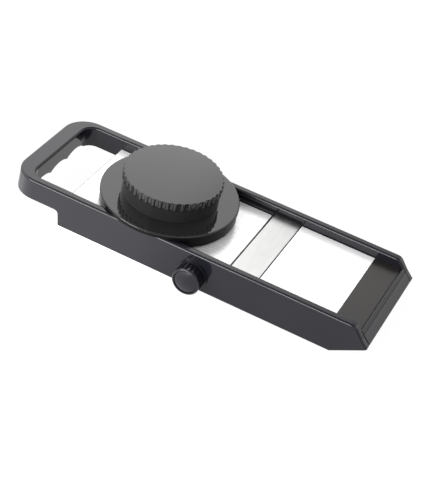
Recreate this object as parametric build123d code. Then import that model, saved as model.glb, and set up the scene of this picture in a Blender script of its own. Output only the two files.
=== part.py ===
"""Mandoline slicer: a long moulded frame with a steel ramp, blade and landing, and a hand guard.

The frame lies on its open underside. +X runs from the handle to the foot, +Z is up, and the
origin is the middle of the footprint. The adjuster's knob sticks out on one side, so the mid-plane
of the frame lies at Y = MID_Y. Each piece is drawn about that mid-plane and shifted when written.
"""
from build123d import *
import math
import os

# Frame, in millimetres
LENGTH = 360.0
WIDTH = 120.0
HEIGHT = 36.3
FLARE = 1.5
SKIN = 2.4
HANDLE_CORNER = 25.0
HANDLE_BAR = 17.0
HANDLE_DEPTH = 20.7
STEP_AT = 52.6
SHELL_AT = STEP_AT + SKIN
TAPER_TO = 96.0
HOLE_HALF = 51.3
HOLE_CORNER = 12.0
RAIL_IN = 52.2
RIM_ROUND = 2.0
LEDGE_IN = 51.2
LEDGE_DEPTH = 8.0
SEAT_DEPTH = 9.5
PANEL_DEPTH = 9.0
DECK_UNDER = 12.0
WINDOW_AT = 57.0
FOOT_ANGLE = 29.5
NOSE = (357.2, 20.2)
NOSE_ANGLE = 45.0
FINGER_PITCH = 29.0
FINGER_TOP = 16.3
FINGER_CUSP = 20.3

# Steel sheets
SHEET = 0.8
BLADE_THICK = 1.0
RAMP_FROM, RAMP_TO = 56.0, 219.4
RAMP_LIP = 1.2
RAMP_FOLD = 3.0
BLADE_FROM, BLADE_TO = 220.8, 247.6
LANDING_FROM, LANDING_TO = 248.8, 322.9
BLADE_NOSE = 223.4
SHEET_HALF = 50.9
RAMP_HALF = 50.5
RAMP_TOP = 10.5
BLADE_TOP = 8.5
STUD_AT = 240.0
STUD_RADIUS = 1.5

# Ramp hinge and its carrier
HINGE_AT, HINGE_DEPTH = 61.0, 15.5
ROD_RADIUS = 2.0
KNUCKLE_RADIUS = 4.0
CARRIER_HALF = 49.6
CARRIER_THICK = 2.2
RIB_DEPTH = 3.0

# Adjuster
SHAFT_AT, SHAFT_DEPTH = 192.1, 22.6
SHAFT_RADIUS = 3.0
SHAFT_FLAT = 0.6
BUSH_RADIUS = 5.5
BOSS_IN = 52.0
RUNNING = 0.05
CLIP_Y, CLIP_BORE = 51.4, 2.3
KNOB_RADIUS = 13.4
KNOB_FACE = 75.5
KNOB_EDGE = 1.6
SCREW_SEAT = 70.8
KNOB_BACK = 63.3
COLLAR_RADIUS = 15.0
COLLAR_OUT = 62.4
KNOB_RIBS = 20
CAP_SEAT, CAP_RISE, CAP_DEEP = 11.2, 2.4, 3.2
KNOB_RIM = 1.6
CAM_Y = 40.0
CAM_WIDTH = 5.0
CAM_REST = 8.2
CAM_RATE = 1.057
CAM_GAP = 0.35

# Hand guard
GUARD_AT = 133.8
FLANGE_RADIUS = 64.6
FLANGE_LIFT = 0.3
FLANGE_TOP = 4.3
SKIRT_RADIUS = 64.0
SKIRT_FLAT = 51.0
SKIRT_DEPTH = 8.1
TUBE_IN, TUBE_OUT = 37.0, 39.2
TUBE_TOP, TUBE_FOOT = 21.7, -6.0
TUBE_LIP = 34.6
CAP_RADIUS = 46.5
CAP_FOOT_RADIUS = 45.0
CAP_BOTTOM, CAP_TOP = 4.6, 26.9
CAP_DOME = 0.8
CAP_WALL = 2.6
LOBES = 42
LOBE_RADIUS = 2.4
LOBE_LONG = 8.0
PUSHER_RADIUS = 34.2
PUSHER_FLANGE = 36.7
SPIKE_TIP = -7.4
SPIKE_LONG = 3.2
SPIKE_RINGS = ((10.0, 6), (20.0, 10), (29.0, 14))

# The knob reaches further from the mid-plane than the guard's flange does on the other side
MID_Y = (KNOB_FACE - FLANGE_RADIUS) / 2


def at(distance):
    """X of a place, measured from the upper edge of the handle's end, whose foot flares out."""
    return distance - (LENGTH - FLARE) / 2


def below(depth):
    """Z of a place, measured down from the top of the rim."""
    return HEIGHT - depth


def block(x, y, z):
    """Box between two stations, two Y values and two depths below the rim."""
    size = (x[1] - x[0], y[1] - y[0], z[1] - z[0])
    middle = (at(sum(x) / 2), sum(y) / 2, below(sum(z) / 2))
    return Pos(*middle) * Box(*size)


def outline(*corners):
    """Closed outline through (u, v, radius) corners, each rounded by its own radius."""
    sketch = make_face(Polyline(*[(u, v) for u, v, _ in corners], close=True))
    for u, v, radius in corners:
        if radius:
            corner = sketch.vertices().sort_by_distance((u, v, 0))[0]
            sketch = fillet(corner, radius)
    return sketch


def side_slab(corners, y):
    """Outline of (station, depth, radius) corners seen from the side, filled between two Y values."""
    face = outline(*[(at(d), below(z), r) for d, z, r in corners])
    return extrude(Plane.XZ.offset(-y[1]) * face, amount=y[1] - y[0])


def barrel(radius, station, depth, y):
    """Cylinder along Y."""
    tall = Cylinder(radius, y[1] - y[0])
    return Pos(at(station), sum(y) / 2, below(depth)) * Rot(90, 0, 0) * tall


def upright(radius, height, x=0.0, y=0.0):
    """Cylinder along Z between two heights above the rim, about a station and a Y value."""
    tall = Cylinder(radius, height[1] - height[0])
    return Pos(at(x), y, HEIGHT + sum(height) / 2) * tall


def both_sides(shape):
    """A shape together with its mirror image across the mid-plane."""
    return [shape, mirror(shape, Plane.XZ)]


def body_plan(inset, flare=0.0):
    """Plan of the frame, rounded at the handle's corners, drawn in by inset, its end moved out by flare."""
    half = WIDTH / 2 - inset
    corner = HANDLE_CORNER - inset
    left, right = at(inset - flare), at(LENGTH)
    return outline((left, -half, corner), (right, -half, 0), (right, half, 0), (left, half, corner))


def hole_plan(outset):
    """Plan of the hand hole and of the channel between the rails, grown by outset."""
    hand, rail = HOLE_HALF + outset, RAIL_IN + outset
    left, right = at(HANDLE_BAR - outset), at(LENGTH + 5)
    half = [(at(STEP_AT), hand), (at(TAPER_TO), rail), (right, rail)]
    corner = HOLE_CORNER + outset
    return outline((left, hand, corner), *[(x, y, 0) for x, y in half],
                   *[(x, -y, 0) for x, y in reversed(half)], (left, -hand, corner))


def crown():
    """The frame's upper outline seen from the side: level, then over a shoulder and down to the nose."""
    slant = math.radians(NOSE_ANGLE)
    reach = LENGTH + 10
    drop = 17.4 + (reach - 359.5) * math.tan(slant)
    return side_slab([(-5, 0, 0), (344.6, 0, 8), (352.8, 10.6, 20), (reach, drop, 0),
                      (reach, HEIGHT + 5, 0), (-5, HEIGHT + 5, 0)], (-WIDTH, WIDTH))


def side_silhouette():
    """The frame seen from the side below its crown: stepped under the handle, cut back at the foot."""
    run = (HEIGHT - NOSE[1]) / math.tan(math.radians(FOOT_ANGLE))
    corners = [(-5, -5, 0), (LENGTH, -5, 0), (LENGTH, 18.4, 0),
               (*NOSE, 1), (NOSE[0] - run, HEIGHT, 1.5), (STEP_AT + 1.5, HEIGHT, 1.2),
               (STEP_AT, HANDLE_DEPTH, 4), (-5, HANDLE_DEPTH, 0)]
    return side_slab(corners, (-WIDTH, WIDTH))


def rails():
    """Ring of rails round the hand hole and the food channel, rounded along its top edges."""
    low = FLARE * HEIGHT / HANDLE_DEPTH
    ring = loft([body_plan(0, low), Pos(0, 0, HEIGHT) * body_plan(0)], ruled=True)
    ring -= extrude(hole_plan(0), HEIGHT)
    ring = ring & crown()
    ring = fillet([e for e in ring.edges() if is_rim_edge(e)], RIM_ROUND)
    return ring & side_silhouette()


def is_rim_edge(edge):
    """Whether an edge runs along the rim: level, or over the shoulder and down to the nose."""
    start, middle, end = edge @ 0, edge @ 0.5, edge @ 1
    level = min(start.Z, middle.Z, end.Z) > HEIGHT - 0.01
    falling = middle.X > at(340) and abs(start.X - end.X) > 0.5 and middle.Z > below(17.6)
    across = abs(start.Y - end.Y) > 1 and middle.X > at(340)
    return (level or falling) and not across


def deck():
    """Ledges, end panel and slanted end between the rails."""
    divider = BLADE_TO + 0.4
    corners = [(WINDOW_AT, LEDGE_DEPTH, 0), (divider, LEDGE_DEPTH, 0), (divider, PANEL_DEPTH, 0),
               (347.9, PANEL_DEPTH, 0), (347.9, 10.2, 0), (349.4, 10.2, 0), (349.4, 6.3, 0.6),
               (352.8, 10.5, 0), (359.4, 17.5, 0), (359.9, 18.4, 0), (359.9, 40, 0), (WINDOW_AT, 40, 0)]
    return side_slab(corners, (-RAIL_IN - 0.1, RAIL_IN + 0.1)) & crown() & side_silhouette()


def sheet_seats():
    """Recess for the blade and landing, the ramp's window and the groove in each rail."""
    across = (-LEDGE_IN, LEDGE_IN)
    cuts = [block((BLADE_NOSE - 5, BLADE_TO + 0.1), across, (LEDGE_DEPTH - 1, SEAT_DEPTH)),
            block((LANDING_FROM - 0.1, LANDING_TO), across, (LEDGE_DEPTH - 1, SEAT_DEPTH)),
            block((BLADE_TO, LANDING_FROM), across, (LEDGE_DEPTH - 1, PANEL_DEPTH - 0.3)),
            side_slab([(40, LEDGE_DEPTH - 0.01, 0), (BLADE_NOSE, LEDGE_DEPTH - 0.01, 0),
                       (BLADE_NOSE, SEAT_DEPTH + 0.5, 0), (231, 20, 0), (231, 40, 0), (40, 40, 0)], across)]
    cuts += both_sides(block((58, BLADE_TO), (RAIL_IN - 0.1, RAIL_IN + 2), (5, LEDGE_DEPTH)))
    cuts += [barrel_z(STUD_RADIUS + 0.15, STUD_AT, y) for y in stud_rows()]
    cuts += [block((x - 0.6, x + 0.6), (y - 4.2, y + 4.2), (0, 20))
             for x in (LANDING_FROM + 8, LANDING_TO - 8) for y in (-30, 30)]
    return cuts


def barrel_z(radius, station, y):
    """Cylinder straight down through the deck."""
    return Pos(at(station), y, below(12)) * Cylinder(radius, 12)


def stud_rows():
    """Y values of the blade's studs."""
    return (-40.0, -14.0, 14.0, 40.0)


def underside():
    """The hollow under the deck, and the hollows inside the rails and the handle."""
    hollow = [(SHELL_AT, HEIGHT + 3, 0), (322.5, HEIGHT + 3, 0), (324.8, HEIGHT, 0), (353.0, 19.6, 1),
              (353.0, 16.2, 1), (346.0, DECK_UNDER, 1), (SHELL_AT, DECK_UNDER, 0)]
    half = WIDTH / 2 - SKIN
    cuts = [side_slab(hollow, (-half, half))]
    cuts += both_sides(block((48, 338), (RAIL_IN + 3.6, half), (3, DECK_UNDER + 0.5)))
    ring = extrude(body_plan(SKIN), HEIGHT - 3) - extrude(hole_plan(SKIN), HEIGHT)
    cuts.append(ring & block((-5, 50), (-WIDTH, WIDTH), (3, 60)))
    return cuts


def finger_grooves():
    """Scallops along the lower edge of the handle's inner wall."""
    pieces = []
    for index in (-1, 0, 1):
        middle = index * FINGER_PITCH
        ends = [(middle + side * FINGER_PITCH / 2, below(FINGER_CUSP)) for side in (-1, 1)]
        arc = ThreePointArc(ends[0], (middle, below(FINGER_TOP)), ends[1])
        under = below(HANDLE_DEPTH + 2)
        rest = Polyline(ends[1], (ends[1][0], under), (ends[0][0], under), ends[0])
        pieces.append(extrude(Plane.YZ.offset(at(11)) * make_face([arc, rest]), amount=12))
    half = 1.5 * FINGER_PITCH
    low = HANDLE_DEPTH + 2
    pieces.append(block((11, 23), (-half, half), (FINGER_CUSP, low)))
    return pieces


def hinge_lugs():
    """Clips inside the rails that the ramp's rod snaps into from below."""
    lug = block((55.2, 66.8), (RAIL_IN - 1, WIDTH / 2 - SKIN + 0.1), (LEDGE_DEPTH, HINGE_DEPTH + 3.2))
    lug -= barrel(ROD_RADIUS, HINGE_AT, HINGE_DEPTH, (RAIL_IN - 2, 56))
    lug -= block((HINGE_AT - 1.7, HINGE_AT + 1.7), (RAIL_IN - 2, 56), (HINGE_DEPTH, 30))
    return both_sides(lug)


def frame():
    """One-piece moulding: handle, rails, deck, end panel and foot."""
    body = rails() + deck()
    body -= underside()
    body -= sheet_seats()
    body -= finger_grooves()
    half = WIDTH / 2 - SKIN + 0.1
    body += block((SHELL_AT - 2, SHELL_AT), (-half, half), (19, HEIGHT))
    body += hinge_lugs()
    collar = barrel(COLLAR_RADIUS, SHAFT_AT, SHAFT_DEPTH, (-COLLAR_OUT, -WIDTH / 2 + 1))
    trim = block((SHAFT_AT - 20, SHAFT_AT + 20), (-COLLAR_OUT - 1, 0), (HEIGHT - 0.4, HEIGHT + 5))
    body += collar - trim
    body += barrel(8.5, SHAFT_AT, SHAFT_DEPTH, (-half, -BOSS_IN))
    body += barrel(8.5, SHAFT_AT, SHAFT_DEPTH, (BOSS_IN, half))
    body -= barrel(BUSH_RADIUS, SHAFT_AT, SHAFT_DEPTH, (-COLLAR_OUT - 1, -50))
    body -= barrel(BUSH_RADIUS, SHAFT_AT, SHAFT_DEPTH, (50, 57))
    body -= pad_seat(0)
    return body


def pad_seat(stand):
    """Rubber strip's space in the slanted foot, standing out of the face by stand."""
    angle = math.radians(FOOT_ANGLE)
    along = 15.0
    x = NOSE[0] - along * math.cos(angle)
    depth = NOSE[1] + along * math.sin(angle)
    strip = Pos(0, 0, (1.2 - stand) / 2) * Box(15, 96, 1.2 + stand)
    strip = fillet(strip.edges().filter_by(Axis.Z), 3)
    return Pos(at(x), 0, below(depth)) * Rot(0, -FOOT_ANGLE, 0) * strip


def foot_pad():
    """Non-slip rubber strip in the foot's slanted face."""
    return pad_seat(0.5)


def blade():
    """Flat steel strip, ground to an edge on its underside."""
    bevel = 4.0
    top, bottom = BLADE_TOP, BLADE_TOP + BLADE_THICK
    corners = [(BLADE_FROM, top, 0), (BLADE_TO, top, 0), (BLADE_TO, bottom, 0),
               (BLADE_FROM + bevel, bottom, 0), (BLADE_FROM, top + 0.12, 0)]
    return side_slab(corners, (-SHEET_HALF, SHEET_HALF))


def blade_studs():
    """Studs welded under the blade."""
    low = BLADE_TOP + BLADE_THICK
    return [upright(STUD_RADIUS, (-low - 7.0, -low), STUD_AT, y) for y in stud_rows()]


def blade_washers():
    """Plain washers on the studs, under the deck."""
    ring = Cylinder(3.5, 0.6) - Cylinder(STUD_RADIUS, 2)
    return [Pos(at(STUD_AT), y, below(DECK_UNDER + 0.3)) * ring for y in stud_rows()]


def blade_nuts():
    """Hexagon nuts on the studs."""
    nut = extrude(RegularPolygon(3.1, 6), 2.4) - Cylinder(STUD_RADIUS, 20)
    return [Pos(at(STUD_AT), y, below(DECK_UNDER + 3.0)) * nut for y in stud_rows()]


def landing_plate():
    """Steel sheet that the food leaves the blade on, held by four bent tabs."""
    top = PANEL_DEPTH - 0.3
    low = top + SHEET
    plate = block((LANDING_FROM, LANDING_TO - 0.2), (-SHEET_HALF, SHEET_HALF), (top, low))
    for x, turn in ((LANDING_FROM + 8, 1), (LANDING_TO - 8, -1)):
        for y in (-30, 30):
            plate += block((x - 0.4, x + 0.4), (y - 4, y + 4), (top, DECK_UNDER + 0.9))
            foot = sorted((x - 0.4 * turn, x + 4.4 * turn))
            plate += block(foot, (y - 4, y + 4), (DECK_UNDER + 0.1, DECK_UNDER + 0.9))
    return plate


def ramp_plate():
    """Steel sheet that the food slides on towards the blade, folded down along its sides."""
    end = RAMP_TO - RAMP_LIP
    plate = block((RAMP_FROM, end), (-RAMP_HALF, RAMP_HALF), (RAMP_TOP, RAMP_TOP + RAMP_FOLD))
    inner = RAMP_HALF - SHEET
    plate -= block((RAMP_FROM + SHEET, end + 1), (-inner, inner), (RAMP_TOP + SHEET, 30))
    edges = plate.edges().filter_by(Axis.X).group_by(Axis.Z)[-1]
    return fillet(edges, 0.5)


def ramp_carrier():
    """Plastic tray under the ramp plate, with ribs, hinge knuckles and pads for the cams."""
    top = RAMP_TOP + SHEET
    low = top + CARRIER_THICK
    left = RAMP_FROM + SHEET + 0.1
    tray = block((left, RAMP_TO), (-CARRIER_HALF, CARRIER_HALF), (top, low))
    tray += block((RAMP_TO - RAMP_LIP, RAMP_TO), (-RAMP_HALF, RAMP_HALF), (RAMP_TOP, low))
    back = RAMP_FROM - 0.5
    fold = RAMP_TOP + RAMP_FOLD
    tray += block((back, left + 2), (-CARRIER_HALF, CARRIER_HALF), (fold, fold + 1.0))
    tray += block((back, RAMP_FROM), (-RAMP_HALF, RAMP_HALF), (RAMP_TOP + 0.2, fold + 1.0))
    for y in (-45.0, -30.0, -15.0, 0.0, 15.0, 30.0, 45.0):
        tray += block((left + 8, 174), (y - 0.9, y + 0.9), (low - 0.1, low + RIB_DEPTH))
    for x in (90.0, 132.0, 173.0):
        tray += block((x - 0.9, x + 0.9), (-45, 45), (low - 0.1, low + RIB_DEPTH))
    for y in (-46.0, -18.0, 18.0, 46.0):
        knuckle = barrel(KNUCKLE_RADIUS, HINGE_AT, HINGE_DEPTH, (y - 3.5, y + 3.5))
        web = block((HINGE_AT - 3, HINGE_AT + 3), (y - 3.5, y + 3.5), (top + 0.5, HINGE_DEPTH))
        tray += (knuckle + web) & block((left, 80), (-60, 60), (top, 40))
    pad_low = SHAFT_DEPTH - CAM_REST - CAM_GAP
    for y in (-CAM_Y, CAM_Y):
        half = CAM_WIDTH / 2 + 1
        tray += block((SHAFT_AT - 8, SHAFT_AT + 8), (y - half, y + half), (low - 0.1, pad_low))
    tray -= barrel(ROD_RADIUS + RUNNING, HINGE_AT, HINGE_DEPTH, (-60, 60))
    return tray


def hinge_rod():
    """Steel rod that the ramp swings on."""
    rod = barrel(ROD_RADIUS, HINGE_AT, HINGE_DEPTH, (-55.5, 55.5))
    return chamfer(rod.edges(), 0.4)


def shaft_flat(shape, y):
    """Takes the shaft's flat off a shape between two Y values."""
    top = SHAFT_DEPTH - SHAFT_RADIUS
    cut = block((SHAFT_AT - 5, SHAFT_AT + 5), y, (top - 5, top + SHAFT_FLAT))
    return shape - cut


def cam_shaft():
    """Steel cross shaft, flattened where the cams and the knob sit."""
    shaft = barrel(SHAFT_RADIUS, SHAFT_AT, SHAFT_DEPTH, (-70.0, 56.5))
    shaft = chamfer(shaft.edges(), 0.4)
    shaft = shaft_flat(shaft, (-71, -KNOB_BACK))
    shaft = shaft_flat(shaft, (-CAM_Y - 6, CAM_Y + 6))
    groove = barrel(SHAFT_RADIUS + 1, SHAFT_AT, SHAFT_DEPTH, (CLIP_Y - 0.4, CLIP_Y + 0.4))
    groove -= barrel(CLIP_BORE, SHAFT_AT, SHAFT_DEPTH, (CLIP_Y - 1, CLIP_Y + 1))
    shaft -= groove
    return shaft - barrel(1.2, SHAFT_AT, SHAFT_DEPTH, (-70.5, -60.0))


def cam(y):
    """Spiral cam: its radius falls steadily as the knob turns, then climbs back."""
    fall_from, fall_to = math.radians(-95), math.radians(205)
    points = []
    steps = 24
    for index in range(steps):
        angle = fall_from + index * 2 * math.pi / steps
        if angle <= fall_to:
            radius = CAM_REST - CAM_RATE * angle
        else:
            share = (angle - fall_to) / (fall_from + 2 * math.pi - fall_to)
            low, high = CAM_REST - CAM_RATE * fall_to, CAM_REST - CAM_RATE * fall_from
            radius = low + (high - low) * (1 - math.cos(math.pi * share)) / 2
        back, up = radius * math.sin(angle), radius * math.cos(angle)
        points.append((at(SHAFT_AT) - back, below(SHAFT_DEPTH) + up))
    face = make_face(Spline(*points, periodic=True))
    half = CAM_WIDTH / 2
    lobe = extrude(Plane.XZ.offset(-y - half) * face, amount=CAM_WIDTH)
    core = shaft_flat(barrel(SHAFT_RADIUS, SHAFT_AT, SHAFT_DEPTH, (y - half - 1, y + half + 1)), (-60, 60))
    return lobe - core


def bush_near():
    """Flanged plastic bush in the frame's near wall."""
    bush = barrel(BUSH_RADIUS, SHAFT_AT, SHAFT_DEPTH, (-COLLAR_OUT, -BOSS_IN))
    return bush - barrel(SHAFT_RADIUS + RUNNING, SHAFT_AT, SHAFT_DEPTH, (-70, 0))


def bush_far():
    """Plastic bush in the blind boss of the far wall."""
    bush = barrel(BUSH_RADIUS, SHAFT_AT, SHAFT_DEPTH, (BOSS_IN, 57))
    return bush - barrel(SHAFT_RADIUS + RUNNING, SHAFT_AT, SHAFT_DEPTH, (49, 60))


def shaft_clip():
    """Open retaining ring in the shaft's groove."""
    wide = (CLIP_Y - 1, CLIP_Y + 1)
    ring = barrel(5.2, SHAFT_AT, SHAFT_DEPTH, (CLIP_Y - 0.3, CLIP_Y + 0.3))
    ring -= barrel(CLIP_BORE, SHAFT_AT, SHAFT_DEPTH, wide)
    return ring - block((SHAFT_AT - 1.8, SHAFT_AT + 1.8), wide, (SHAFT_DEPTH, SHAFT_DEPTH + 8))


def spring_washer():
    """Washer that presses between the knob and the collar, so that a setting stays put."""
    washer = barrel(9.0, SHAFT_AT, SHAFT_DEPTH, (-KNOB_BACK, -COLLAR_OUT - 0.2))
    return washer - barrel(SHAFT_RADIUS + 0.2, SHAFT_AT, SHAFT_DEPTH, (-70, -60))


def adjust_knob():
    """Ribbed thickness knob with a smooth round rim round its face."""
    knob = barrel(KNOB_RADIUS, SHAFT_AT, SHAFT_DEPTH, (-KNOB_FACE + KNOB_RIM, -KNOB_BACK))
    knob = fillet(knob.edges().group_by(Axis.Y)[0], KNOB_EDGE)
    reach = KNOB_RADIUS + 0.3
    for index in range(KNOB_RIBS):
        angle = 2 * math.pi * (index + 0.5) / KNOB_RIBS
        across, up = math.sin(angle), math.cos(angle)
        along = (-KNOB_FACE + KNOB_RIM + 2.0, -KNOB_BACK + 1)
        knob -= barrel(1.4, SHAFT_AT + reach * across, SHAFT_DEPTH - reach * up, along)
    knob -= barrel(CAP_SEAT, SHAFT_AT, SHAFT_DEPTH, (-KNOB_FACE - 1, -KNOB_FACE + CAP_DEEP))
    knob -= barrel(4.2, SHAFT_AT, SHAFT_DEPTH, (-KNOB_FACE - 1, -SCREW_SEAT))
    core = shaft_flat(barrel(SHAFT_RADIUS, SHAFT_AT, SHAFT_DEPTH, (-70.0, -60.0)), (-71, -60))
    return knob - core - barrel(1.4, SHAFT_AT, SHAFT_DEPTH, (-75, -60))


def knob_cap():
    """Domed cap set into the knob's face."""
    cap = barrel(CAP_SEAT, SHAFT_AT, SHAFT_DEPTH, (-KNOB_FACE, -KNOB_FACE + CAP_DEEP))
    bulge = (CAP_SEAT ** 2 + CAP_RISE ** 2) / (2 * CAP_RISE)
    return cap & Pos(at(SHAFT_AT), -KNOB_FACE + bulge, below(SHAFT_DEPTH)) * Sphere(bulge)


def knob_screw():
    """Screw that pulls the knob onto the shaft's end."""
    screw = barrel(2.4, SHAFT_AT, SHAFT_DEPTH, (-SCREW_SEAT - 1.4, -SCREW_SEAT))
    screw += barrel(1.2, SHAFT_AT, SHAFT_DEPTH, (-71.0, -61.0))
    return screw


def flat_sided(radius, half, height):
    """Disc with two flats, between two heights above the rim."""
    disc = upright(radius, height, GUARD_AT)
    bar = Pos(at(GUARD_AT), 0, HEIGHT) * Box(4 * radius, 2 * half, 100)
    return disc & bar


def guard_plate():
    """Round flange that rides on the rails, with a ribbed skirt that runs between them."""
    flange = upright(FLANGE_RADIUS, (FLANGE_LIFT, FLANGE_TOP), GUARD_AT)
    flange = fillet(flange.edges().group_by(Axis.Z)[-1], 1.2)
    skirt = flat_sided(SKIRT_RADIUS, SKIRT_FLAT, (-SKIRT_DEPTH, FLANGE_LIFT + 0.5))
    inner = (-SKIRT_DEPTH - 1, FLANGE_TOP - SKIN)
    base = flange + skirt - flat_sided(SKIRT_RADIUS - 2, SKIRT_FLAT - 2, inner)
    for index in range(8):
        angle = 45 * index + 22.5
        rib = Pos((TUBE_OUT + 6.3), 0, -2) * Box(13, 1.6, 9)
        rib = Pos(at(GUARD_AT), 0, HEIGHT) * Rot(0, 0, angle) * rib
        base += rib & flat_sided(SKIRT_RADIUS - 1, SKIRT_FLAT - 1, (-SKIRT_DEPTH, FLANGE_TOP - 1))
    base -= upright(TUBE_OUT, (-SKIRT_DEPTH - 1, FLANGE_TOP + 1), GUARD_AT)
    return base - upright(TUBE_OUT + 2, (-SKIRT_DEPTH - 1, TUBE_FOOT), GUARD_AT)


def guide_tube():
    """Sleeve pushed up through the guard plate, with a foot below and a lip that stops the pusher."""
    tube = upright(TUBE_OUT, (-SKIRT_DEPTH, TUBE_TOP), GUARD_AT)
    tube += upright(TUBE_OUT + 2, (-SKIRT_DEPTH, TUBE_FOOT), GUARD_AT)
    tube -= upright(TUBE_IN, (-SKIRT_DEPTH - 1, TUBE_TOP - 2), GUARD_AT)
    return tube - upright(TUBE_LIP, (0, TUBE_TOP + 1), GUARD_AT)


def palm_cap():
    """Hollow palm grip with round lobes for the fingers along its upper edge."""
    tall = CAP_TOP - CAP_BOTTOM
    lobe = Cylinder(LOBE_RADIUS, LOBE_LONG) + Pos(0, 0, -LOBE_LONG / 2) * Sphere(LOBE_RADIUS)
    lobe = Pos(CAP_RADIUS - LOBE_RADIUS, 0, (tall - LOBE_LONG) / 2) * lobe
    grip = Cone(CAP_FOOT_RADIUS, CAP_FOOT_RADIUS + 0.2, tall)
    grip += [Rot(0, 0, 360 * index / LOBES) * lobe for index in range(LOBES)]
    grip &= domed_blank(CAP_RADIUS + 0.1, tall)
    grip = Pos(at(GUARD_AT), 0, HEIGHT + (CAP_TOP + CAP_BOTTOM) / 2) * grip
    grip -= upright(CAP_FOOT_RADIUS - CAP_WALL, (CAP_BOTTOM - 1, CAP_TOP - 3), GUARD_AT)
    for x, y in screw_places():
        grip -= upright(1.25, (CAP_TOP - 7, CAP_TOP - 1.2), GUARD_AT + x, y)
    return grip


def domed_blank(radius, tall):
    """Round blank with a slightly domed top and a bevelled upper edge."""
    top, bevel = tall / 2, 0.7
    edge = top - CAP_DOME
    side = Polyline((0, -top), (radius, -top), (radius, edge - bevel), (radius - bevel, edge))
    dome = ThreePointArc(side @ 1, (radius / 2, top - CAP_DOME / 4), (0, top))
    return revolve(Plane.XZ * make_face([side, dome, Line((0, top), (0, -top))]), Axis.Z)


def screw_places():
    """Places of the pusher's screws about the guard's axis."""
    return [(27 * math.cos(a), 27 * math.sin(a)) for a in (0, 2 * math.pi / 3, 4 * math.pi / 3)]


def pusher():
    """Cup inside the guide tube: a spiked floor, a wall up to the palm cap and a stop flange."""
    low = SPIKE_TIP + SPIKE_LONG
    cup = upright(PUSHER_RADIUS, (low, CAP_TOP - 3), GUARD_AT)
    cup += upright(PUSHER_FLANGE, (low, low + 2.2), GUARD_AT)
    cup -= upright(PUSHER_RADIUS - 2.2, (low + 2.4, CAP_TOP), GUARD_AT)
    for x, y in screw_places():
        cup += upright(4.0, (low + 1, CAP_TOP - 3), GUARD_AT + x, y)
    for x, y in screw_places():
        cup -= upright(2.6, (low - 1, CAP_TOP - 9), GUARD_AT + x, y)
        cup -= upright(1.4, (low, CAP_TOP), GUARD_AT + x, y)
    return cup


def spikes():
    """Short steel spikes that hold the food, pressed into the pusher's floor."""
    pin = Cylinder(0.7, SPIKE_LONG - 1.4, align=(Align.CENTER, Align.CENTER, Align.MIN))
    pin = Pos(0, 0, 1.4) * pin + Cone(0.15, 0.7, 1.4, align=(Align.CENTER, Align.CENTER, Align.MIN))
    pins = []
    for ring, count in SPIKE_RINGS:
        for index in range(count):
            angle = 2 * math.pi * (index + 0.5) / count
            x, y = ring * math.cos(angle), ring * math.sin(angle)
            clear = min(math.hypot(x - a, y - b) for a, b in screw_places())
            if clear > 4:
                pins.append(Pos(at(GUARD_AT) + x, y, HEIGHT + SPIKE_TIP) * pin)
    return pins


def pusher_screws():
    """Screws that hold the pusher to the palm cap."""
    screws = []
    for x, y in screw_places():
        head = upright(2.4, (CAP_TOP - 11, CAP_TOP - 9), GUARD_AT + x, y)
        screws.append(head + upright(1.25, (CAP_TOP - 9.1, CAP_TOP - 1.4), GUARD_AT + x, y))
    return screws


NODES = {
    "frame": frame,
    "foot_pad": foot_pad,
    "blade": blade,
    "blade_studs": blade_studs,
    "blade_washers": blade_washers,
    "blade_nuts": blade_nuts,
    "landing_plate": landing_plate,
    "ramp_plate": ramp_plate,
    "ramp_carrier": ramp_carrier,
    "hinge_rod": hinge_rod,
    "cam_shaft": cam_shaft,
    "cam_near": lambda: cam(-CAM_Y),
    "cam_far": lambda: cam(CAM_Y),
    "bush_near": bush_near,
    "bush_far": bush_far,
    "shaft_clip": shaft_clip,
    "spring_washer": spring_washer,
    "adjust_knob": adjust_knob,
    "knob_cap": knob_cap,
    "knob_screw": knob_screw,
    "guard_plate": guard_plate,
    "guide_tube": guide_tube,
    "palm_cap": palm_cap,
    "pusher": pusher,
    "spikes": spikes,
    "pusher_screws": pusher_screws,
}


def write(name, shape):
    """Shifts a piece into the part's frame and writes it as one file."""
    pieces = shape if isinstance(shape, list) else [shape]
    solids = [solid for piece in pieces for solid in piece.solids()]
    export_step(Pos(0, MID_Y, 0) * Compound(children=solids), os.path.join("parts", name + ".step"))


os.makedirs("parts", exist_ok=True)
for node, make in NODES.items():
    write(node, make())
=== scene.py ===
"""Looks of the mandoline slicer: a material for each piece, and a white studio round the fixed frame."""
import math

import bmesh
import bpy
from mathutils import Matrix, Vector


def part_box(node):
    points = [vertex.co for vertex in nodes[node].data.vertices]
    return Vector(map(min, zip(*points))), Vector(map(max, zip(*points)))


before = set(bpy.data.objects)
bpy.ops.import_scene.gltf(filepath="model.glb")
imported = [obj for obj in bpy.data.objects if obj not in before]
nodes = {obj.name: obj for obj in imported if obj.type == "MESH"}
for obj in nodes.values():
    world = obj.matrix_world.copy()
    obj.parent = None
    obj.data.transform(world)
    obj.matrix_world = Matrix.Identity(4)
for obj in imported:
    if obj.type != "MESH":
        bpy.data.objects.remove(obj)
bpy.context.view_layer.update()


# ---------------------------------------------------------------- materials

# Noise scales: slow clouds in plastic and in steel, brush lines, the moulded grain and the rubber's dimples
PLASTIC_CLOUDS = 14.0
STEEL_CLOUDS = 22.0
BRUSH_LINES = 60.0
GRAIN = 900.0
DIMPLES = 1500.0

# How much finer a noise is along X, Y and Z: even, lines along X, Y or a rod, and a fine speckle
EVEN = (1, 1, 1)
LINES_ALONG_X = (0.5, 30, 1)
LINES_ALONG_Y = (30, 0.5, 1)
LINES_ALONG_ROD = (30, 1, 30)
SPECKLE = (8, 8, 8)

# Layers of a noise, and how much each finer layer counts
NOISE_DETAIL = 4.0
NOISE_ROUGHNESS = 0.6

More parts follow.
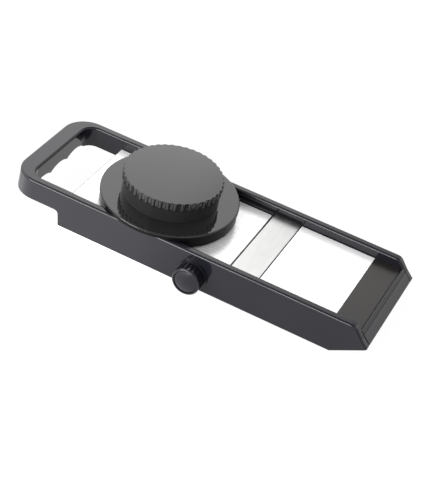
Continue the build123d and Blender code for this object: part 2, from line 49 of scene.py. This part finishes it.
# Part of a noise's range that is spread over the roughness, and over the colour
ROUGHNESS_LOW, ROUGHNESS_HIGH = 0.3, 0.7
COLOR_LOW, COLOR_HIGH = 0.32, 0.68

# Least and most roughness, as parts of a material's own
PLASTIC_SPREAD = (0.85, 1.2)
STEEL_SPREAD = (0.8, 1.25)

# Depth of the grain and of the brush lines, in metres
GRAIN_DEPTH = 0.0001

# The rubber's roughness, and the depth of its dimples in metres and their strength
RUBBER_ROUGHNESS = 0.75
DIMPLE_DEPTH = 0.0002
DIMPLE_STRENGTH = 0.5

# Index of refraction of a moulded plastic
PLASTIC_IOR = 1.46

# How far below the rim the frame's panels lie, and the normals that count as upward and as sideways; the
# guard's sideways faces get painted shade
PANEL_NEAR, PANEL_FAR = 0.005, 0.013
UPWARD, SIDEWAYS = 0.9, 0.3


def new_material(name, color, roughness, metallic=0.0):
    """Material with a Principled shader; returns it with its node tree and shader."""
    material = bpy.data.materials.new(name)
    material.use_nodes = True
    tree = material.node_tree
    shader = tree.nodes["Principled BSDF"]
    shader.inputs["Base Color"].default_value = (*color, 1)
    shader.inputs["Roughness"].default_value = roughness
    shader.inputs["Metallic"].default_value = metallic
    return material, tree, shader


def add(tree, kind, **settings):
    """New node with its inputs set by name; a setting that is no input is set on the node."""
    node = tree.nodes.new(kind)
    for key, value in settings.items():
        if key in node.inputs:
            node.inputs[key].default_value = value
        else:
            setattr(node, key, value)
    return node


def stretched(tree, scale, factors):
    """Noise texture in object space, finer along each axis by its factor."""
    place = add(tree, "ShaderNodeTexCoord")
    mapping = add(tree, "ShaderNodeMapping", Scale=factors)
    noise = add(tree, "ShaderNodeTexNoise", Scale=scale, Detail=NOISE_DETAIL, Roughness=NOISE_ROUGHNESS)
    tree.links.new(place.outputs["Object"], mapping.inputs["Vector"])
    tree.links.new(mapping.outputs["Vector"], noise.inputs["Vector"])
    return noise


def drive_roughness(tree, shader, noise, low, high):
    """Lets a noise move the roughness between two values."""
    spread = add(tree, "ShaderNodeMapRange")
    spread.inputs["From Min"].default_value = ROUGHNESS_LOW
    spread.inputs["From Max"].default_value = ROUGHNESS_HIGH
    spread.inputs["To Min"].default_value = low
    spread.inputs["To Max"].default_value = high
    tree.links.new(noise.outputs["Fac"], spread.inputs["Value"])
    tree.links.new(spread.outputs["Result"], shader.inputs["Roughness"])


def drive_color(tree, shader, noise, dark, light):
    """Lets a noise move the colour between two values."""
    ramp = add(tree, "ShaderNodeValToRGB")
    first, last = ramp.color_ramp.elements
    first.position, first.color = COLOR_LOW, (*dark, 1)
    last.position, last.color = COLOR_HIGH, (*light, 1)
    tree.links.new(noise.outputs["Fac"], ramp.inputs["Fac"])
    tree.links.new(ramp.outputs["Color"], shader.inputs["Base Color"])


def drive_bump(tree, shader, noise, strength, distance):
    """Presses a noise into the surface."""
    bump = add(tree, "ShaderNodeBump", Strength=strength, Distance=distance)
    tree.links.new(noise.outputs["Fac"], bump.inputs["Height"])
    tree.links.new(bump.outputs["Normal"], shader.inputs["Normal"])


def plastic(name, dark, light, roughness, grain, ior=PLASTIC_IOR):
    """Moulded plastic: faint cloudiness in colour and gloss, and a fine moulded grain."""
    material, tree, shader = new_material(name, light, roughness)
    shader.inputs["IOR"].default_value = ior
    clouds = stretched(tree, PLASTIC_CLOUDS, EVEN)
    drive_color(tree, shader, clouds, dark, light)
    drive_roughness(tree, shader, clouds, *(roughness * part for part in PLASTIC_SPREAD))
    drive_bump(tree, shader, stretched(tree, GRAIN, EVEN), grain, GRAIN_DEPTH)
    return material


def brushed_steel(name, dark, light, roughness, strokes, depth, metallic=1.0):
    """Steel with brush lines, and a faint cloudiness in colour."""
    material, tree, shader = new_material(name, light, roughness, metallic)
    lines = stretched(tree, BRUSH_LINES, strokes)
    drive_color(tree, shader, stretched(tree, STEEL_CLOUDS, EVEN), dark, light)
    drive_roughness(tree, shader, lines, *(roughness * part for part in STEEL_SPREAD))
    drive_bump(tree, shader, lines, depth, GRAIN_DEPTH)
    return material


def rubber(name, color):
    """Soft rubber with a fine dimpled skin."""
    material, tree, shader = new_material(name, color, RUBBER_ROUGHNESS)
    drive_bump(tree, shader, stretched(tree, DIMPLES, EVEN), DIMPLE_STRENGTH, DIMPLE_DEPTH)
    return material


def wear(material, names):
    """Gives whole nodes one material."""
    for name in names:
        mesh = nodes[name].data
        mesh.materials.clear()
        mesh.materials.append(material)


def wear_part(material, name, chosen):
    """Gives a second material to the faces whose middle and normal are chosen."""
    mesh = nodes[name].data
    mesh.materials.append(material)
    last = len(mesh.materials) - 1
    for face in mesh.polygons:
        if chosen(face.center, face.normal):
            face.material_index = last


def paint_plastics():
    """Moulded pieces: glossy black body and guard, plain hidden pieces, white bearings and cams."""
    body = plastic("black_abs", dark=(0.006, 0.006, 0.009), light=(0.008, 0.008, 0.012),
                   roughness=0.13, grain=0.10, ior=1.42)
    gloss = plastic("gloss_abs", dark=(0.012, 0.012, 0.012), light=(0.015, 0.015, 0.015),
                    roughness=0.07, grain=0.03)
    plain = plastic("plain_plastic", dark=(0.020, 0.020, 0.021), light=(0.030, 0.030, 0.031),
                    roughness=0.45, grain=0.35)
    acetal = plastic("acetal", dark=(0.62, 0.61, 0.57), light=(0.70, 0.69, 0.65),
                     roughness=0.38, grain=0.15)
    wear(body, ["frame", "adjust_knob", "knob_cap"])
    wear(gloss, ["guard_plate", "palm_cap"])
    wear(plain, ["ramp_carrier", "pusher", "guide_tube"])
    wear(acetal, ["cam_near", "cam_far", "bush_near", "bush_far"])
    wear(rubber("foot_rubber", (0.022, 0.022, 0.022)), ["foot_pad"])


def paint_parts():
    """Satin panels recessed in the frame, and painted shade on the guard's skirt: its sideways faces get a
    darker, less reflective copy of the gloss plastic.
    """
    panel = plastic("panel_abs", dark=(0.013, 0.011, 0.010), light=(0.017, 0.015, 0.014),
                    roughness=0.30, grain=0.20, ior=1.42)
    # Painted shade: a darker colour and a weaker reflection (IOR 1.15) than the guard's gloss plastic, so
    # its sideways faces look black
    skirt = plastic("skirt_painted_shade", dark=(0.004, 0.004, 0.004), light=(0.006, 0.006, 0.006),
                    roughness=0.30, grain=0.15, ior=1.15)
    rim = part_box("frame")[1].z

    def is_panel(middle, normal):
        return normal.z > UPWARD and PANEL_NEAR < rim - middle.z < PANEL_FAR

    wear_part(panel, "frame", is_panel)
    # Painted shade on every sideways face of the guard
    wear_part(skirt, "guard_plate", lambda middle, normal: abs(normal.z) < SIDEWAYS)


def paint_metals():
    """Bright sheets, ground blade and spikes, drawn rods and plated fasteners."""
    sheet = brushed_steel("sheet_steel", dark=(0.88, 0.88, 0.88), light=(0.94, 0.94, 0.94),
                          roughness=0.28, strokes=LINES_ALONG_X, depth=0.04, metallic=0.28)
    edge = brushed_steel("blade_steel", dark=(0.48, 0.48, 0.475), light=(0.54, 0.54, 0.535),
                         roughness=0.36, strokes=LINES_ALONG_Y, depth=0.16)
    rod = brushed_steel("rod_steel", dark=(0.52, 0.52, 0.53), light=(0.60, 0.60, 0.61),
                        roughness=0.30, strokes=LINES_ALONG_ROD, depth=0.15)
    zinc = brushed_steel("zinc_steel", dark=(0.60, 0.61, 0.63), light=(0.70, 0.71, 0.72),
                         roughness=0.28, strokes=SPECKLE, depth=0.12)
    wear(sheet, ["ramp_plate", "landing_plate"])
    wear(edge, ["blade", "spikes"])
    wear(rod, ["hinge_rod", "cam_shaft", "blade_studs", "shaft_clip"])
    wear(zinc, ["blade_washers", "blade_nuts", "spring_washer", "knob_screw", "pusher_screws"])


# ---------------------------------------------------------------- studio

# Place in metres, angles in degrees, sensor and lens in millimetres
CAMERA_PLACE = (0.31867, -0.91064, 0.75195)
CAMERA_AZIMUTH = 18.784
CAMERA_ELEVATION = 37.856
CAMERA_ROLL = 12.525
SENSOR_WIDTH = 36
LENS = 95.58

# Half the floor's width, and its gap below the object, in metres
FLOOR_REACH = 6
FLOOR_GAP = 0.0002

# Grey and roughness of the floor under its glow
FLOOR_GREY = 0.06
FLOOR_ROUGHNESS = 0.9

# Glow of the floor, and of the painted pool of light, a brighter glow of the floor itself, in front of the
# object's left half
FLOOR_GLOW, PAINTED_POOL_GLOW = 0.96, 1.9

# Where the painted pool of light fades out along X and along Y: the place and strength where that starts,
# then where it ends
POOL_ALONG = (-0.12, 1.0, 0.06, 0.0)
POOL_ACROSS = (-0.06, 1.0, -0.03, 0.0)

# Brightness of the surround by the sine of the height above the horizon
SKY = ((0.0, 0.9), (0.2, 1.5), (0.45, 2.9), (0.72, 2.7), (0.88, 0.55), (1.0, 0.5))

# Where a new stop of the surround's ramp starts, before it is set
NEW_STOP = 0.5

# The surround's direction along X and its strength there, at its left and at its right
SKY_LEFT, SKY_RIGHT = (-0.30, 1.0), (-0.10, 0.42)


def make_camera():
    """Camera above the knob's side, rolled so that the body falls to the right."""
    data = bpy.data.cameras.new("camera")
    data.sensor_width = SENSOR_WIDTH
    data.lens = LENS
    camera = bpy.data.objects.new("camera", data)
    bpy.context.scene.collection.objects.link(camera)
    turn = Matrix.Rotation(math.radians(CAMERA_AZIMUTH), 4, "Z")
    tilt = Matrix.Rotation(math.radians(90 - CAMERA_ELEVATION), 4, "X")
    roll = Matrix.Rotation(math.radians(CAMERA_ROLL), 4, "Z")
    camera.matrix_world = Matrix.Translation(CAMERA_PLACE) @ turn @ tilt @ roll
    bpy.context.scene.camera = camera


def softbox(name, azimuth, elevation, distance, size, radiance):
    """Area light aimed at the object; azimuth 0 stands in front of the knob's side."""
    data = bpy.data.lights.new(name, "AREA")
    data.shape = "RECTANGLE"
    data.size, data.size_y = size
    data.energy = radiance * math.pi * size[0] * size[1]
    lamp = bpy.data.objects.new(name, data)
    bpy.context.scene.collection.objects.link(lamp)
    turn, rise = math.radians(azimuth), math.radians(elevation)
    away = Vector((math.sin(turn) * math.cos(rise), -math.cos(turn) * math.cos(rise), math.sin(rise)))
    lamp.location = away * distance
    lamp.rotation_mode = "QUATERNION"
    lamp.rotation_quaternion = away.to_track_quat("Z", "Y")
    lamp.visible_camera = False


def fade(tree, source, start, start_value, end, end_value):
    """Smooth change between two values along an output."""
    change = add(tree, "ShaderNodeMapRange", interpolation_type="SMOOTHSTEP")
    change.inputs["From Min"].default_value, change.inputs["To Min"].default_value = start, start_value
    change.inputs["From Max"].default_value, change.inputs["To Max"].default_value = end, end_value
    tree.links.new(source, change.inputs["Value"])
    return change.outputs["Result"]


def make_floor():
    """White seamless floor with a painted pool of light, a brighter glow, in front on the left."""
    mesh = bpy.data.meshes.new("floor")
    build = bmesh.new()
    bmesh.ops.create_grid(build, x_segments=1, y_segments=1, size=FLOOR_REACH)
    build.to_mesh(mesh)
    build.free()
    floor = bpy.data.objects.new("floor", mesh)
    bpy.context.scene.collection.objects.link(floor)
    floor.location.z = -FLOOR_GAP
    material, tree, shader = new_material("floor_white", (FLOOR_GREY,) * 3, FLOOR_ROUGHNESS)
    shader.inputs["Specular IOR Level"].default_value = 0.0
    shader.inputs["Emission Color"].default_value = (1, 1, 1, 1)
    place = add(tree, "ShaderNodeTexCoord")
    split = add(tree, "ShaderNodeSeparateXYZ")
    tree.links.new(place.outputs["Object"], split.inputs["Vector"])
    # Painted pool of light: the floor glows brighter in front of the object's left half
    pool = add(tree, "ShaderNodeMath", operation="MULTIPLY")
    tree.links.new(fade(tree, split.outputs["X"], *POOL_ALONG), pool.inputs[0])
    tree.links.new(fade(tree, split.outputs["Y"], *POOL_ACROSS), pool.inputs[1])
    glow = fade(tree, pool.outputs["Value"], 0.0, FLOOR_GLOW, 1.0, PAINTED_POOL_GLOW)
    tree.links.new(glow, shader.inputs["Emission Strength"])
    mesh.materials.append(material)


def make_world():
    """White surround, brightest halfway up and to the left, and dark overhead."""
    world = bpy.data.worlds.new("studio")
    bpy.context.scene.world = world
    world.use_nodes = True
    tree = world.node_tree
    back = tree.nodes["Background"]
    place = add(tree, "ShaderNodeTexCoord")
    split = add(tree, "ShaderNodeSeparateXYZ")
    ramp = add(tree, "ShaderNodeValToRGB")
    stops = ramp.color_ramp.elements
    while len(stops) < len(SKY):
        stops.new(NEW_STOP)
    for stop, (sine, grey) in zip(stops, SKY):
        stop.position = sine
        stop.color = (grey, grey, grey, 1)
    tree.links.new(place.outputs["Generated"], split.inputs["Vector"])
    tree.links.new(split.outputs["Z"], ramp.inputs["Fac"])
    tree.links.new(ramp.outputs["Color"], back.inputs["Color"])
    tree.links.new(fade(tree, split.outputs["X"], *SKY_LEFT, *SKY_RIGHT), back.inputs["Strength"])


def make_studio():
    """Camera, floor, surround and soft lights."""
    make_camera()
    make_floor()
    make_world()
    softbox("strip", azimuth=-21, elevation=14, distance=1.25, size=(1.2, 0.40), radiance=13.0)
    softbox("fill", azimuth=140, elevation=14, distance=1.3, size=(0.9, 0.45), radiance=0.95)
    scene = bpy.context.scene
    scene.view_settings.view_transform = "Standard"
    scene.view_settings.look = "None"


make_studio()
paint_plastics()
paint_parts()
paint_metals()
